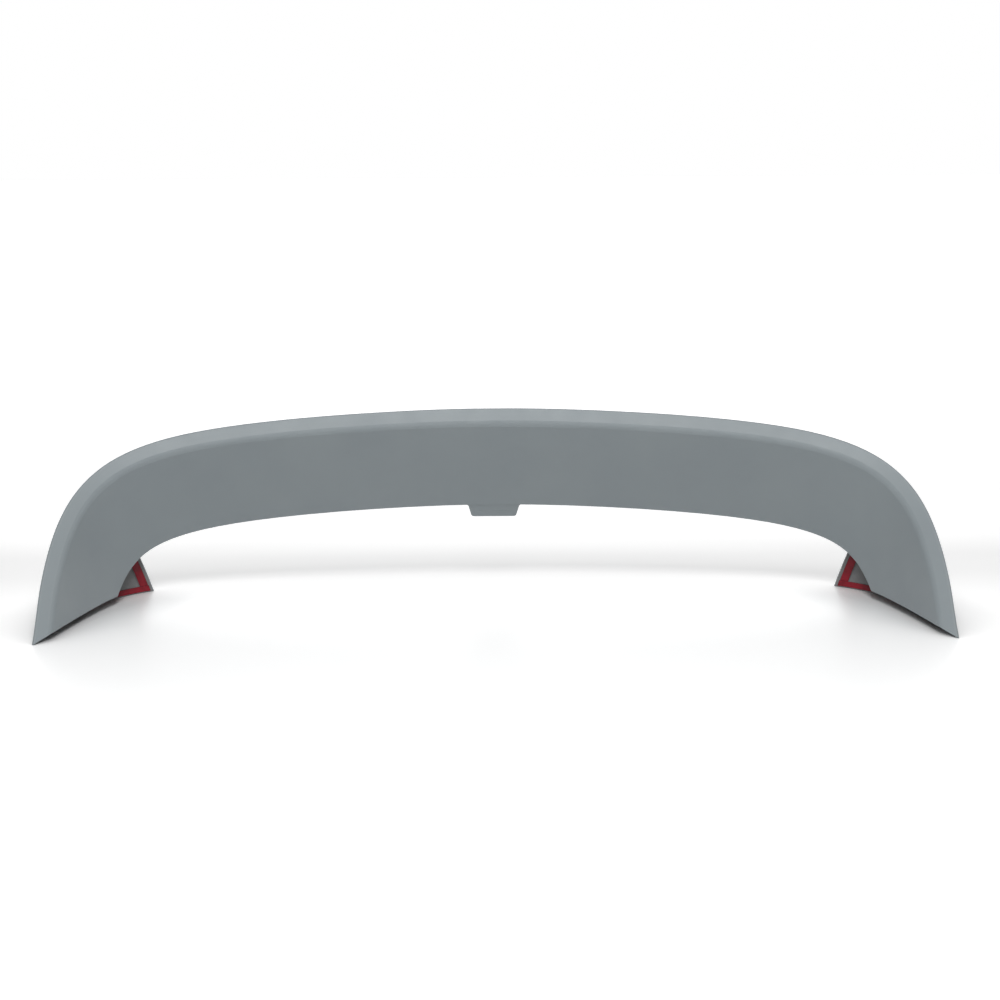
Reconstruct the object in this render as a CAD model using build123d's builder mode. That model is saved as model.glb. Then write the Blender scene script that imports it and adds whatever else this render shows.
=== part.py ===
from build123d import *
import os
from math import asin, cos, radians, sin, sqrt

os.makedirs("parts", exist_ok=True)

# Crest: the outer edge, a flat arch with a bowed crown in a plane that leans back from the floor
half_width = 576.6
arch_rise = 363.2
crown_bow = 78.0
crest_lean = 45.0
crown_power = 5.28
leg_power = 3.27
run_out = 30.0

# Where the blade's sections stand: on the crown by half width, on a leg by rise
crown_steps = (0.18, 0.36, 0.53, 0.67, 0.78, 0.85)
leg_steps = (0.78, 0.66, 0.52, 0.36, 0.18, 0.0)

# Blade section, measured from the crest: inwards in the arch plane, and back from it
wall = 3.0
bevel_in = 20.0
bevel_back = 10.7
bevel_round = 12.0
crest_round = 2.5
front_in = 44.1
front_back = 127.7
back_radius = 230.0
back_flare = 7.5
back_reach = 216.0
tip_set_back = 2.0

# Opening under the back skin, between the two ears, measured up from the floor and in from the leg tips
opening_height = 125.0
opening_shoulder = 92.0
shoulder_in = 146.0
ear_top_in = 86.0
ear_top_height = 62.0
ear_foot_in = 108.0
ear_round = 9.0
cut_start = 120.0
cut_clear = 14.0
cut_past = 2.0
cut_below = 20.0

# Lower edge of the front skin: lifted from the tips inwards, with a tab in the middle that carries the skin on
heel_lift = 9.0
foot_lift = 12.0
foot_clear = 18.0
foot_past = 17.0
tab_root = 71.0
tab_end = 61.0
tab_depth = 20.5
tab_thick = 2.0
tab_round = 4.0
tab_blend = 5.0
tab_bury = 1.4

# Double-sided foam tape with its release liner, on the inside of each ear
tape_seat = 0.2
tape_thick = 1.0
liner_seat = 0.25
liner_thick = 0.3
tape_start = 35.0
edge_margin = 3.5
edge_width = 9.5
base_margin = 2.0
base_height = 7.0
strip_gap = 0.4

across = sin(radians(crest_lean))
along = cos(radians(crest_lean))
crest_normal = Vector(0, -across, along)
back_centre = Vector(cos(radians(back_flare)), sin(radians(back_flare))) * back_radius

# The middle of the overall depth, between the leg tips and the back skin's lowest edge
turn_y = (arch_rise - back_centre.X) * along + back_centre.Y * across
turn_z = (arch_rise - back_centre.X) * across - back_centre.Y * along
back_most = turn_y + sqrt(back_radius**2 - (opening_height - turn_z) ** 2)
depth_middle = (back_most + tip_set_back) / 2


def station(x, y, side):
    # Section plane square to the crest: its first axis points inwards, its second one back
    edge_y = leg_power * max(y, 0) ** (leg_power - 1) / arch_rise
    edge_x = (crown_power * x ** (crown_power - 1) + edge_y * crown_bow * (2 * x - 4 * x**3)) / half_width
    rise = y * arch_rise - crown_bow * (x**2 - x**4) if y >= 0 else -run_out
    origin = Vector(side * x * half_width, rise * along - depth_middle, rise * across)
    inwards = Vector(-side * edge_x, -edge_y * along, -edge_y * across)
    return Plane(origin, x_dir=inwards, z_dir=inwards.cross(crest_normal) * -1)


# Each leg runs on below the floor, where it is cut off level
crown = [(n, (1 - n**crown_power) ** (1 / leg_power)) for n in crown_steps]
leg = [((1 - n**leg_power) ** (1 / crown_power), n) for n in leg_steps]
half = crown + leg + [(1.0, -1.0)]
left_stations = [station(x, y, -1) for x, y in reversed(half)]
middle_station = station(0.0, 1.0, 1)
right_stations = [station(x, y, 1) for x, y in half]
stations = left_stations + [middle_station] + right_stations


def on_back(radius, depth):
    # Point at a given radius, in line with the point of the back skin at a given depth behind the crest
    angle = asin((depth - back_centre.Y) / back_radius)
    return back_centre + Vector(-cos(angle), sin(angle)) * radius


def back_layer(outer, inner, start, end):
    # Closed outline of a curved layer that runs along the back skin
    with BuildLine() as outline:
        RadiusArc(on_back(outer, start), on_back(outer, end), outer)
        Line(on_back(outer, end), on_back(inner, end))
        RadiusArc(on_back(inner, end), on_back(inner, start), -inner)
        Line(on_back(inner, start), on_back(outer, start))
    return outline.line


bevel_end = Vector(bevel_in, bevel_back)
front_end = bevel_end + Vector(front_in, front_back)
bevel_way = bevel_end.normalized()
front_way = (front_end - bevel_end).normalized()
bevel_skin = Vector(-bevel_way.Y, bevel_way.X) * wall
front_skin = Vector(-front_way.Y, front_way.X) * wall
bevel_mitre = bevel_end + (bevel_skin + front_skin) / (1 + bevel_skin.dot(front_skin) / wall**2)
back_inner = back_radius - wall
off = bevel_skin - back_centre
step = -off.dot(bevel_way) - sqrt(off.dot(bevel_way) ** 2 - off.dot(off) + back_inner**2)
crest_mitre = bevel_skin + bevel_way * step
back_end = on_back(back_radius, back_reach)
back_end_in = on_back(back_inner, back_reach)

far = 3 * half_width
cut_outer = back_radius + cut_clear
cut_inner = back_inner - cut_clear
shoulder = Vector(half_width - shoulder_in, opening_shoulder)
ear_top = Vector(half_width - ear_top_in, ear_top_height)
ear_foot = half_width - ear_foot_in
ear_slope = (ear_top.X - ear_foot) / ear_top_height
ear_end = Vector(ear_foot - ear_slope * cut_below, -cut_below)
eaves = ear_top - shoulder
foot_depth = front_end.Y / across
foot_reach = half_width - front_end.X
tape_outer = back_inner - tape_seat
tape_inner = tape_outer - tape_thick
liner_outer = tape_inner - liner_seat
liner_inner = liner_outer - liner_thick
base_top = base_margin + base_height
base_end = half_width + edge_width
edge_bottom = base_top + strip_gap
edge_top = ear_top_height - edge_margin
edge_start = ear_foot + edge_margin

with BuildPart() as opening:
    for plane in stations:
        with BuildSketch(plane):
            with BuildLine():
                add(back_layer(cut_outer, cut_inner, cut_start, back_reach + cut_past))
            make_face()
    loft()
    with BuildSketch(Plane.XZ) as gap:
        with BuildLine():
            Spline(
                (-shoulder.X, shoulder.Y),
                (0, opening_height),
                shoulder,
                tangents=[(eaves.X, -eaves.Y), eaves],
            )
            Polyline(
                shoulder,
                ear_top,
                ear_end,
                (-ear_end.X, ear_end.Y),
                (-ear_top.X, ear_top.Y),
                (-shoulder.X, shoulder.Y),
            )
        make_face()
        fillet(gap.vertices().group_by(Axis.X)[0] + gap.vertices().group_by(Axis.X)[-1], ear_round)
    extrude(amount=far, both=True, mode=Mode.INTERSECT)

with BuildPart() as foot_relief:
    with BuildSketch(Plane.XZ):
        with BuildLine():
            Polyline(
                (half_width, 0),
                (half_width - bevel_in, heel_lift),
                (foot_reach, foot_lift),
                (0, foot_lift),
                (0, -cut_below),
                (half_width, -cut_below),
                close=True,
            )
        make_face()
    extrude(amount=far, both=True)
    with BuildSketch(Plane.XY):
        with BuildLine():
            Polyline(
                (half_width - wall / 2, -depth_middle),
                (foot_reach + foot_clear, foot_depth + foot_past - depth_middle),
                (0, foot_depth + foot_past - depth_middle),
                (0, -depth_middle),
                close=True,
            )
        make_face()
    extrude(amount=far, both=True, mode=Mode.INTERSECT)
    with BuildSketch(Plane.XY):
        Rectangle(2 * far, 2 * far)
    extrude(amount=cut_below, both=True, mode=Mode.INTERSECT)
    mirror(about=Plane.YZ)

with BuildPart() as shell:
    for plane in stations:
        with BuildSketch(plane) as blade:
            with BuildLine():
                Polyline((0, 0), bevel_end, front_end, front_end + front_skin, bevel_mitre, crest_mitre)
                RadiusArc(crest_mitre, back_end_in, back_inner)
                Line(back_end_in, back_end)
                RadiusArc(back_end, (0, 0), -back_radius)
            make_face()
            fillet(blade.vertices().sort_by_distance(bevel_end)[0], bevel_round)
            fillet(blade.vertices().sort_by_distance((0, 0))[0], crest_round)
    loft()
    with BuildSketch(Plane.XY):
        Rectangle(far, far)
    extrude(amount=-far, mode=Mode.SUBTRACT)
    add(opening.part, mode=Mode.SUBTRACT)
    add(foot_relief.part, mode=Mode.SUBTRACT)
    tab_origin = middle_station.from_local_coords(front_end + front_skin / 2)
    tab_normal = middle_station.from_local_coords(front_skin) - middle_station.origin
    with BuildSketch(Plane(tab_origin, x_dir=(1, 0, 0), z_dir=tab_normal)) as tab:
        with BuildLine():
            Polyline(
                (-tab_root / 2 - tab_blend, -tab_bury),
                (-tab_root / 2 - tab_blend, 0),
                (-tab_root / 2, 0),
                (-tab_end / 2, tab_depth),
                (tab_end / 2, tab_depth),
                (tab_root / 2, 0),
                (tab_root / 2 + tab_blend, 0),
                (tab_root / 2 + tab_blend, -tab_bury),
                close=True,
            )
        make_face()
        fillet(tab.vertices().sort_by_distance((-tab_root / 2, 0))[0], tab_blend)
        fillet(tab.vertices().sort_by_distance((tab_root / 2, 0))[0], tab_blend)
        fillet(tab.vertices().group_by(Axis.Y)[-1], tab_round)
    extrude(amount=tab_thick / 2, both=True)
shell.part.label = "spoiler shell"
export_step(shell.part, "parts/shell.step")

# The whole sheet of foam and of liner that would line the back skin; the strips are cut from these
with BuildPart() as foam:
    for plane in stations:
        with BuildSketch(plane):
            with BuildLine():
                add(back_layer(tape_outer, tape_inner, tape_start, back_reach))
            make_face()
    loft()

with BuildPart() as liner:
    for plane in stations:
        with BuildSketch(plane):
            with BuildLine():
                add(back_layer(liner_outer, liner_inner, tape_start, back_reach))
            make_face()
    loft()

for name, side in {"left": -1, "right": 1}.items():
    strips = {
        "edge": [
            (side * (edge_start + ear_slope * edge_bottom), edge_bottom),
            (side * (edge_start + ear_slope * edge_bottom + edge_width), edge_bottom),
            (side * (edge_start + ear_slope * edge_top + edge_width), edge_top),
            (side * (edge_start + ear_slope * edge_top), edge_top),
        ],
        "base": [
            (side * edge_start, base_margin),
            (side * base_end, base_margin),
            (side * base_end, base_top),
            (side * (edge_start + ear_slope * base_height), base_top),
        ],
    }
    for strip, outline in strips.items():
        for layer, sheet in {"foam": foam.part, "liner": liner.part}.items():
            with BuildPart() as tape:
                add(sheet)
                with BuildSketch(Plane.XZ):
                    with BuildLine():
                        Polyline(outline, close=True)
                    make_face()
                extrude(amount=far, both=True, mode=Mode.INTERSECT)
            tape.part.label = f"{name} {strip} tape {layer}"
            export_step(tape.part, f"parts/{name}_{strip}_{layer}.step")
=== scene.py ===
from math import cos, radians, sin

import bpy
from mathutils import Euler, Matrix, Vector

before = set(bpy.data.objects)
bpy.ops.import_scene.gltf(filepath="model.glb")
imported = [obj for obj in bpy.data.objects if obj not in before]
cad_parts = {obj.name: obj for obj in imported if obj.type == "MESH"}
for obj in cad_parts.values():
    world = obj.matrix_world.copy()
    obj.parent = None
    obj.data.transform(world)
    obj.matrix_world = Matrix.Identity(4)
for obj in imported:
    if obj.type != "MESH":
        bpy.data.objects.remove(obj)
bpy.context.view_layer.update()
scene = bpy.context.scene
scene.view_settings.view_transform = "Standard"

# Camera: metres and degrees, lens and sensor in millimetres
CAMERA_REACH = 2.690
CAMERA_HEIGHT = 0.671
LOOK_DOWN = 11.0
ORBIT = 0.4
ROLL = 0.33
LENS = 75.37
SENSOR = 36.0
SHIFT_X = 0.0055
SHIFT_Y = -0.001

# Light: azimuth and height in degrees, reach and size in metres, power in watts
WORLD_LIGHT = 0.06
KEY_AZIMUTH = 2.0
KEY_HEIGHT = 53.0
KEY_REACH = 3.0
KEY_SIZE = 1.0
KEY_POWER = 36.5
FILL_AZIMUTH = -2.0
FILL_HEIGHT = 28.0
FILL_REACH = 3.3
FILL_SIZE = 1.3
FILL_POWER = 28.0
BACK_AZIMUTH = 180.0
BACK_HEIGHT = 40.0
BACK_REACH = 3.0
BACK_SIZE = 2.4
BACK_POWER = 20.0

# Floor, in the frame's metres
FLOOR_HALF = 14.0
FLOOR_ROUGHNESS = 0.34
FLOOR_SPECULAR = 0.50
FLOOR_COAT = 0.1
FLOOR_COAT_IOR = 1.6

# The floor's glow for the camera: by depth near the object, and full far away from it. The dip
# behind the arch is a painted shadow, and the higher glow in front is painted light over the back
# lamp's shadow.
FLOOR_FRONT = -0.5
FLOOR_REAR = 1.0
FLOOR_GLOW_PAINTED_SHADE = (
    (-0.25, 0.39),
    (0.05, 0.36),
    (0.20, 0.25),
    (0.31, 0.24),
    (0.45, 0.38),
    (0.60, 0.42),
)
LEAST_LIFT = 0.25
FAR_START = 0.9
FAR_FULL = 2.4

# Painted contact shadow: the object shuts off the floor's glow where it hides the sky, how far that
# reaches, and between which shares of open sky
PAINTED_SHADOW_REACH = 0.12
PAINTED_SHADOW_SHUT = 0.55
PAINTED_SHADOW_OPEN = 0.95
PAINTED_SHADOW_SAMPLES = 16

# Ears, in the frame's metres: how far out they start, and how far behind the crest's plane. Shade
# is painted on their forward faces.
EAR_OUT = 0.42
EAR_BEHIND = 0.141
EAR_BLEND = 0.004
EAR_FACING = -0.2
CREST_BACK = (0.0, 0.7071, -0.7071)
CREST_SHIFT = 0.1213

# Colours, linear
WHITE = (1.0, 1.0, 1.0)
PRIMER = (0.294, 0.332, 0.350)
PRIMER_DARK = (0.284, 0.321, 0.341)
PRIMER_PALE = (0.305, 0.343, 0.360)
# Inside the ears: a darker neutral grey, partly a thin primer mist and partly painted shade
MIST_AND_PAINTED_SHADE = (0.205, 0.205, 0.207)
MIST_AND_PAINTED_SHADE_DARK = (0.170, 0.168, 0.170)
LINER = (0.260, 0.008, 0.020)
LINER_DARK = (0.170, 0.005, 0.013)
FOAM = (0.060, 0.060, 0.064)
FOAM_PALE = (0.095, 0.095, 0.100)
FLOOR = (0.93, 0.93, 0.93)
FLOOR_BOUNCE = (0.60, 0.60, 0.60)

# Noises: scale, detail and roughness
MOTTLE = (9.0, 4.0, 0.55)
GRAIN = (900.0, 2.0, 0.6)
PEEL = (420.0, 2.0, 0.45)
PRIMER_SHEEN = (40.0, 3.0, 0.5)
MIST_AND_SHADE_CLOUD = (60.0, 4.0, 0.6)
LINER_PATCH = (120.0, 3.0, 0.5)
LINER_SHEEN = (200.0, 2.0, 0.5)
LINER_WAVE = (90.0, 2.0, 0.5)
FOAM_CELLS = 2200.0

# Levels of a noise at which a colour is reached, and between which a sheen varies
MOTTLE_LEVELS = (0.30, 0.50, 0.72)
FLECK_LEVELS = (0.66, 0.80)
FLECK_SHARE = 0.35
MIST_AND_SHADE_LEVELS = (0.35, 0.65)
LINER_LEVELS = (0.32, 0.62)
FOAM_LEVELS = (0.1, 0.6)
SHEEN_LEVELS = (0.3, 0.7)

# Roughness, from low to high where it varies, and specular levels
PRIMER_ROUGHNESS = (0.40, 0.48)
LINER_ROUGHNESS = (0.28, 0.42)
FOAM_ROUGHNESS = 0.9
PRIMER_SPECULAR = 0.50
LINER_SPECULAR = 0.28
FOAM_SPECULAR = 0.2

# Bumps: strength, and height in metres
PEEL_BUMP = (0.10, 0.0004)
GRAIN_BUMP = (0.06, 0.0002)
LINER_BUMP = (0.25, 0.0006)
FOAM_BUMP = (0.4, 0.0002)


def seen_directly(tree):
    """One for what the camera sees, also in a reflection, and zero for light that only bounces."""
    path = tree.nodes.new("ShaderNodeLightPath")
    seen = tree.nodes.new("ShaderNodeMath")
    seen.operation = "MAXIMUM"
    tree.links.new(path.outputs["Is Camera Ray"], seen.inputs[0])
    tree.links.new(path.outputs["Is Glossy Ray"], seen.inputs[1])
    return seen.outputs["Value"]


class Nodes:
    """Short hand for building one material's node tree."""

    def __init__(self, name):
        self.material = bpy.data.materials.new(name)
        self.material.use_nodes = True
        self.tree = self.material.node_tree
        self.tree.nodes.clear()
        self.shader = self.add("ShaderNodeBsdfPrincipled")
        out = self.add("ShaderNodeOutputMaterial")
        self.link(self.shader.outputs["BSDF"], out.inputs["Surface"])

    def add(self, kind, **values):
        node = self.tree.nodes.new(kind)
        for name, value in values.items():
            setattr(node, name, value)
        return node

    def link(self, source, target):
        self.tree.links.new(source, target)

    def surface(self, name, value):
        """Give one input of the shader a number or another node's output."""
        target = self.shader.inputs[name]
        if isinstance(value, float):
            target.default_value = value
        else:
            self.link(value, target)

    def object_place(self):
        return self.add("ShaderNodeTexCoord").outputs["Object"]

    def noise(self, where, kind):
        scale, detail, roughness = kind
        node = self.add("ShaderNodeTexNoise")
        node.inputs["Scale"].default_value = scale
        node.inputs["Detail"].default_value = detail
        node.inputs["Roughness"].default_value = roughness
        self.link(where, node.inputs["Vector"])
        return node.outputs["Fac"]

    def ramp(self, source, levels, colours):
        node = self.add("ShaderNodeValToRGB")
        ramp = node.color_ramp
        while len(ramp.elements) < len(levels):
            ramp.elements.new(0.5)
        for element, level, colour in zip(ramp.elements, levels, colours):
            element.position = level
            element.color = (*colour, 1.0)
        self.link(source, node.inputs["Fac"])
        return node.outputs["Color"]

    def span(self, source, low, high, to_low=0.0, to_high=1.0):
        node = self.add("ShaderNodeMapRange")
        node.inputs["From Min"].default_value = low
        node.inputs["From Max"].default_value = high
        node.inputs["To Min"].default_value = to_low
        node.inputs["To Max"].default_value = to_high
        self.link(source, node.inputs["Value"])
        return node.outputs["Result"]

    def bump(self, height, kind, before=None):
        strength, distance = kind
        node = self.add("ShaderNodeBump")
        node.inputs["Strength"].default_value = strength
        node.inputs["Distance"].default_value = distance
        self.link(height, node.inputs["Height"])
        if before is not None:
            self.link(before, node.inputs["Normal"])
        return node.outputs["Normal"]

    def mix(self, share, first, second):
        node = self.add("ShaderNodeMix", data_type="RGBA")
        self.link(share, node.inputs["Factor"])
        for source, target in ((first, node.inputs["A"]), (second, node.inputs["B"])):
            if isinstance(source, tuple):
                target.default_value = (*source, 1.0)
            else:
                self.link(source, target)
        return node.outputs["Result"]

    def math(self, operation, *sources):
        node = self.add("ShaderNodeMath", operation=operation)
        for source, target in zip(sources, node.inputs):
            self.link(source, target)
        return node.outputs["Value"]

    def split(self, vector):
        node = self.add("ShaderNodeSeparateXYZ")
        self.link(vector, node.inputs["Vector"])
        return node.outputs


def painted_ear_shade_share(n):
    """Share from 0 to 1 for painted shade: one on the faces of the ears that look forwards, behind
    the front skin.
    """
    geometry = n.add("ShaderNodeNewGeometry")
    position = geometry.outputs["Position"]
    behind = n.add("ShaderNodeVectorMath", operation="DOT_PRODUCT")
    n.link(position, behind.inputs[0])
    behind.inputs[1].default_value = CREST_BACK
    start = EAR_BEHIND - CREST_SHIFT
    out = n.math("ABSOLUTE", n.split(position)["X"])
    facing = n.split(geometry.outputs["Normal"])["Y"]
    in_ear = n.math(
        "MULTIPLY",
        n.span(behind.outputs["Value"], start, start + EAR_BLEND),
        n.span(out, EAR_OUT, EAR_OUT + EAR_BLEND),
    )
    return n.math("MULTIPLY", in_ear, n.span(facing, 0.0, EAR_FACING))


def primer_material():
    """Grey primer: orange peel, a soft mottle and pale specks; inside the ears a darker neutral
    grey, partly a thin primer mist and partly painted shade.
    """
    n = Nodes("grey_primer")
    where = n.object_place()
    grain = n.noise(where, GRAIN)
    mottle = n.ramp(n.noise(where, MOTTLE), MOTTLE_LEVELS, (PRIMER_DARK, PRIMER, PRIMER_PALE))
    coat = n.mix(n.span(grain, *FLECK_LEVELS, 0.0, FLECK_SHARE), mottle, PRIMER_PALE)
    # Inside the ears: partly thin primer mist, partly painted shade
    mist_and_shade = n.ramp(n.noise(where, MIST_AND_SHADE_CLOUD), MIST_AND_SHADE_LEVELS, (MIST_AND_PAINTED_SHADE_DARK, MIST_AND_PAINTED_SHADE))
    n.surface("Base Color", n.mix(painted_ear_shade_share(n), coat, mist_and_shade))
    sheen = n.noise(where, PRIMER_SHEEN)
    n.surface("Roughness", n.span(sheen, *SHEEN_LEVELS, *PRIMER_ROUGHNESS))
    n.surface("Specular IOR Level", PRIMER_SPECULAR)
    peel = n.bump(n.noise(where, PEEL), PEEL_BUMP)
    n.surface("Normal", n.bump(grain, GRAIN_BUMP, peel))
    return n.material


def liner_material():
    """Red release film: smooth, with faint waves and darker patches."""
    n = Nodes("red_liner")
    where = n.object_place()
    patch = n.noise(where, LINER_PATCH)
    n.surface("Base Color", n.ramp(patch, LINER_LEVELS, (LINER_DARK, LINER)))
    sheen = n.noise(where, LINER_SHEEN)
    n.surface("Roughness", n.span(sheen, *SHEEN_LEVELS, *LINER_ROUGHNESS))
    n.surface("Specular IOR Level", LINER_SPECULAR)
    n.surface("Normal", n.bump(n.noise(where, LINER_WAVE), LINER_BUMP))
    return n.material


def foam_material():
    """Dark closed-cell foam: matt, with small pores."""
    n = Nodes("tape_foam")
    cells = n.add("ShaderNodeTexVoronoi")
    cells.inputs["Scale"].default_value = FOAM_CELLS
    n.link(n.object_place(), cells.inputs["Vector"])
    pores = cells.outputs["Distance"]
    n.surface("Base Color", n.ramp(pores, FOAM_LEVELS, (FOAM, FOAM_PALE)))
    n.surface("Roughness", FOAM_ROUGHNESS)
    n.surface("Specular IOR Level", FOAM_SPECULAR)
    n.surface("Normal", n.bump(pores, FOAM_BUMP))
    return n.material


def floor_material():
    """Slightly glossy floor that glows for the camera, with painted shadow: less glow beside and
    behind the object.
    """
    n = Nodes("studio_floor")
    position = n.add("ShaderNodeNewGeometry").outputs["Position"]
    seen = seen_directly(n.tree)
    n.surface("Base Color", n.mix(seen, FLOOR_BOUNCE, FLOOR))
    n.surface("Roughness", FLOOR_ROUGHNESS)
    n.surface("Specular IOR Level", FLOOR_SPECULAR)
    n.surface("Coat Weight", FLOOR_COAT)
    n.surface("Coat Roughness", FLOOR_ROUGHNESS)
    n.surface("Coat IOR", FLOOR_COAT_IOR)
    away = n.add("ShaderNodeVectorMath", operation="LENGTH")
    n.link(position, away.inputs[0])
    far_lift = n.span(away.outputs["Value"], FAR_START, FAR_FULL, LEAST_LIFT)
    # Glow by depth: lower behind the arch as a painted shadow, higher in front as painted light
    # over the back lamp's shadow
    depth = n.span(n.split(position)["Y"], FLOOR_FRONT, FLOOR_REAR)
    levels = [(y - FLOOR_FRONT) / (FLOOR_REAR - FLOOR_FRONT) for y, _ in FLOOR_GLOW_PAINTED_SHADE]
    near_glow_painted_shade = n.ramp(depth, levels, [(lift,) * 3 for _, lift in FLOOR_GLOW_PAINTED_SHADE])
    lift = n.math("MAXIMUM", near_glow_painted_shade, far_lift)
    # Painted contact shadow: the glow falls where the object hides the sky around a floor point
    sky = n.add("ShaderNodeAmbientOcclusion", samples=PAINTED_SHADOW_SAMPLES)
    sky.inputs["Distance"].default_value = PAINTED_SHADOW_REACH
    clear = n.span(sky.outputs["AO"], PAINTED_SHADOW_SHUT, PAINTED_SHADOW_OPEN)
    n.shader.inputs["Emission Color"].default_value = (*WHITE, 1.0)
    n.surface("Emission Strength", n.math("MULTIPLY", seen, n.math("MULTIPLY", lift, clear)))
    return n.material


def finish_node(name, material):
    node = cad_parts[name]
    node.data.materials.clear()
    node.data.materials.append(material)


primer = primer_material()
liner = liner_material()
foam = foam_material()
for node_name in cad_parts:
    if node_name.endswith("liner"):
        finish_node(node_name, liner)
    elif node_name.endswith("foam"):
        finish_node(node_name, foam)
    else:
        finish_node(node_name, primer)

# The floor that the object stands on
floor_mesh = bpy.data.meshes.new("studio_floor")
corners = [
    (x * FLOOR_HALF, y * FLOOR_HALF, 0.0) for x, y in ((-1, -1), (1, -1), (1, 1), (-1, 1))
]
floor_mesh.from_pydata(corners, [], [(0, 1, 2, 3)])
floor = bpy.data.objects.new("studio_floor", floor_mesh)
scene.collection.objects.link(floor)
floor_mesh.materials.append(floor_material())

# World: white to the camera and to reflections, softer as light
world = bpy.data.worlds.new("studio")
scene.world = world
world.use_nodes = True
tree = world.node_tree
background = tree.nodes["Background"]
background.inputs["Color"].default_value = (*WHITE, 1.0)
level = tree.nodes.new("ShaderNodeMapRange")
level.inputs["To Min"].default_value = WORLD_LIGHT
level.inputs["To Max"].default_value = 1.0
tree.links.new(seen_directly(tree), level.inputs["Value"])
tree.links.new(level.outputs["Result"], background.inputs["Strength"])


def soft_box(name, azimuth, height, reach, size, power):
    """A square lamp that faces the object, seen from it at the given azimuth and height."""
    light = bpy.data.lights.new(name, "AREA")
    light.size = size
    light.energy = power
    lamp = bpy.data.objects.new(name, light)
    scene.collection.objects.link(lamp)
    turn = radians(azimuth)
    rise = radians(height)
    level_reach = reach * cos(rise)
    lamp.location = (level_reach * sin(turn), -level_reach * cos(turn), reach * sin(rise))
    lamp.rotation_euler = (-Vector(lamp.location)).to_track_quat("-Z", "Y").to_euler()


soft_box("key", KEY_AZIMUTH, KEY_HEIGHT, KEY_REACH, KEY_SIZE, KEY_POWER)
soft_box("fill", FILL_AZIMUTH, FILL_HEIGHT, FILL_REACH, FILL_SIZE, FILL_POWER)
soft_box("back", BACK_AZIMUTH, BACK_HEIGHT, BACK_REACH, BACK_SIZE, BACK_POWER)

# The camera stands in front of the object, a little towards -X, and looks down at it
camera_data = bpy.data.cameras.new("camera")
camera_data.sensor_width = SENSOR
camera_data.lens = LENS
camera_data.shift_x = SHIFT_X
camera_data.shift_y = SHIFT_Y
camera = bpy.data.objects.new("camera", camera_data)
scene.collection.objects.link(camera)
orbit = radians(ORBIT)
camera.location = (-CAMERA_REACH * sin(orbit), -CAMERA_REACH * cos(orbit), CAMERA_HEIGHT)
aim = Euler((radians(90.0 - LOOK_DOWN), 0.0, -orbit)).to_matrix()
roll = Matrix.Rotation(radians(-ROLL), 3, "Z")
camera.rotation_euler = (aim @ roll).to_euler()
scene.camera = camera
